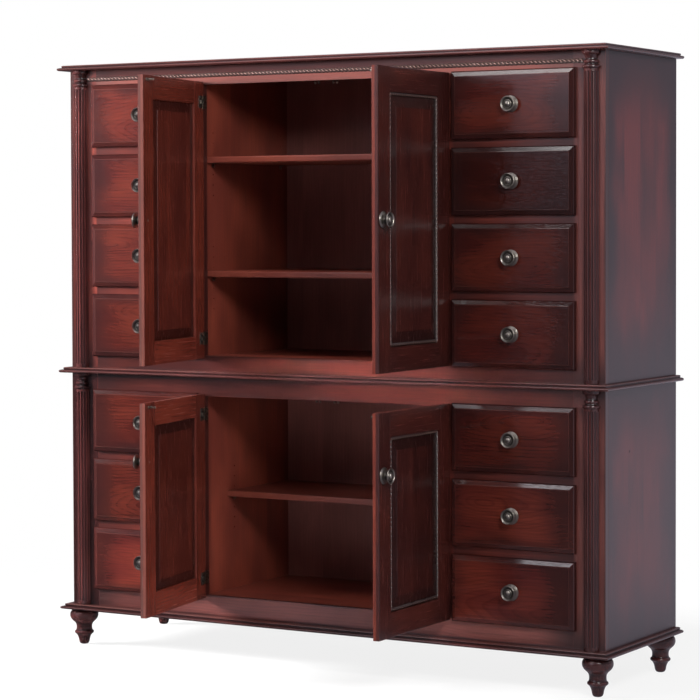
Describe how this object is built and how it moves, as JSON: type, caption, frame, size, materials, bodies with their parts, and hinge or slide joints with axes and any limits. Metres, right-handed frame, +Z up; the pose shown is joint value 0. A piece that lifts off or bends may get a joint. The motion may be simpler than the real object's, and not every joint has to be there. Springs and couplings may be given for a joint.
{
  "type": "two-piece dresser with doors and drawers",
  "caption": "Tall dark cherry dresser in two stacked cases, each with a two-door cupboard and shelves between banks of bevelled drawers, fluted corner columns and turned feet.",
  "frame": {"origin": "on the floor, under the middle of the object's box with the doors standing open", "axes": "+Z up, -Y to the front, +X to the right of someone facing the front"},
  "size_m": [1.898, 0.9348, 1.8312],
  "materials": {
    "dark_cherry": "dark burnished cherry stain under satin lacquer",
    "red_cherry": "red cherry stain, darker at the edges, under satin lacquer",
    "inside_cherry": "red-brown stain, satin",
    "pewter": "antique pewter with darkened hollows",
    "nickel": "nickel plate"
  },
  "bodies": {
    "carcass": {"base_board": "dark_cherry", "foot_back_left": "dark_cherry", "foot_back_right": "dark_cherry", "foot_front_left": "dark_cherry", "foot_front_right": "dark_cherry", "hinge_lower_left_bottom": "nickel", "hinge_lower_left_top": "nickel", "hinge_lower_right_bottom": "nickel", "hinge_lower_right_top": "nickel", "hinge_upper_left_bottom": "nickel", "hinge_upper_left_top": "nickel", "hinge_upper_right_bottom": "nickel", "hinge_upper_right_top": "nickel", "lower_back": "inside_cherry", "lower_case": "inside_cherry", "lower_frame": "dark_cherry", "shelf_lower": "red_cherry", "shelf_upper_high": "red_cherry", "shelf_upper_low": "red_cherry", "top_board": "dark_cherry", "upper_back": "inside_cherry", "upper_case": "inside_cherry", "upper_frame": "dark_cherry", "waist_board": "dark_cherry"},
    "drawer_upper_left_1": {"drawer_upper_left_1": "red_cherry", "knob_upper_left_1": "pewter"},
    "drawer_upper_left_2": {"drawer_upper_left_2": "red_cherry", "knob_upper_left_2": "pewter"},
    "drawer_upper_left_3": {"drawer_upper_left_3": "red_cherry", "knob_upper_left_3": "pewter"},
    "drawer_upper_left_4": {"drawer_upper_left_4": "red_cherry", "knob_upper_left_4": "pewter"},
    "door_upper_left": {"door_upper_left": "red_cherry", "knob_door_upper_left": "pewter"},
    "drawer_upper_right_1": {"drawer_upper_right_1": "red_cherry", "knob_upper_right_1": "pewter"},
    "drawer_upper_right_2": {"drawer_upper_right_2": "red_cherry", "knob_upper_right_2": "pewter"},
    "drawer_upper_right_3": {"drawer_upper_right_3": "red_cherry", "knob_upper_right_3": "pewter"},
    "drawer_upper_right_4": {"drawer_upper_right_4": "red_cherry", "knob_upper_right_4": "pewter"},
    "door_upper_right": {"door_upper_right": "red_cherry", "knob_door_upper_right": "pewter"},
    "drawer_lower_left_1": {"drawer_lower_left_1": "red_cherry", "knob_lower_left_1": "pewter"},
    "drawer_lower_left_2": {"drawer_lower_left_2": "red_cherry", "knob_lower_left_2": "pewter"},
    "drawer_lower_left_3": {"drawer_lower_left_3": "red_cherry", "knob_lower_left_3": "pewter"},
    "door_lower_left": {"door_lower_left": "red_cherry", "knob_door_lower_left": "pewter"},
    "drawer_lower_right_1": {"drawer_lower_right_1": "red_cherry", "knob_lower_right_1": "pewter"},
    "drawer_lower_right_2": {"drawer_lower_right_2": "red_cherry", "knob_lower_right_2": "pewter"},
    "drawer_lower_right_3": {"drawer_lower_right_3": "red_cherry", "knob_lower_right_3": "pewter"},
    "door_lower_right": {"door_lower_right": "red_cherry", "knob_door_lower_right": "pewter"}
  },
  "joints": [
    {"name": "slide_upper_left_1", "type": "slide", "parent": "carcass", "child": "drawer_upper_left_1", "axis": [0, -1, 0], "range_m": [0, 0.3]},
    {"name": "slide_upper_left_2", "type": "slide", "parent": "carcass", "child": "drawer_upper_left_2", "axis": [0, -1, 0], "range_m": [0, 0.3]},
    {"name": "slide_upper_left_3", "type": "slide", "parent": "carcass", "child": "drawer_upper_left_3", "axis": [0, -1, 0], "range_m": [0, 0.3]},
    {"name": "slide_upper_left_4", "type": "slide", "parent": "carcass", "child": "drawer_upper_left_4", "axis": [0, -1, 0], "range_m": [0, 0.3]},
    {"name": "hinge_upper_left", "type": "hinge", "parent": "carcass", "child": "door_upper_left", "pos_m": [-0.425, -0.0438, 1.3429], "axis": [0, 0, 1], "range_deg": [-32, 80]},
    {"name": "slide_upper_right_1", "type": "slide", "parent": "carcass", "child": "drawer_upper_right_1", "axis": [0, -1, 0], "range_m": [0, 0.3]},
    {"name": "slide_upper_right_2", "type": "slide", "parent": "carcass", "child": "drawer_upper_right_2", "axis": [0, -1, 0], "range_m": [0, 0.3]},
    {"name": "slide_upper_right_3", "type": "slide", "parent": "carcass", "child": "drawer_upper_right_3", "axis": [0, -1, 0], "range_m": [0, 0.3]},
    {"name": "slide_upper_right_4", "type": "slide", "parent": "carcass", "child": "drawer_upper_right_4", "axis": [0, -1, 0], "range_m": [0, 0.3]},
    {"name": "hinge_upper_right", "type": "hinge", "parent": "carcass", "child": "door_upper_right", "pos_m": [0.425, -0.0438, 1.3429], "axis": [0, 0, -1], "range_deg": [-21, 91]},
    {"name": "slide_lower_left_1", "type": "slide", "parent": "carcass", "child": "drawer_lower_left_1", "axis": [0, -1, 0], "range_m": [0, 0.3]},
    {"name": "slide_lower_left_2", "type": "slide", "parent": "carcass", "child": "drawer_lower_left_2", "axis": [0, -1, 0], "range_m": [0, 0.3]},
    {"name": "slide_lower_left_3", "type": "slide", "parent": "carcass", "child": "drawer_lower_left_3", "axis": [0, -1, 0], "range_m": [0, 0.3]},
    {"name": "hinge_lower_left", "type": "hinge", "parent": "carcass", "child": "door_lower_left", "pos_m": [-0.425, -0.0438, 0.4983], "axis": [0, 0, 1], "range_deg": [-32, 80]},
    {"name": "slide_lower_right_1", "type": "slide", "parent": "carcass", "child": "drawer_lower_right_1", "axis": [0, -1, 0], "range_m": [0, 0.3]},
    {"name": "slide_lower_right_2", "type": "slide", "parent": "carcass", "child": "drawer_lower_right_2", "axis": [0, -1, 0], "range_m": [0, 0.3]},
    {"name": "slide_lower_right_3", "type": "slide", "parent": "carcass", "child": "drawer_lower_right_3", "axis": [0, -1, 0], "range_m": [0, 0.3]},
    {"name": "hinge_lower_right", "type": "hinge", "parent": "carcass", "child": "door_lower_right", "pos_m": [0.425, -0.0438, 0.4983], "axis": [0, 0, -1], "range_deg": [-21, 91]}
  ]
}
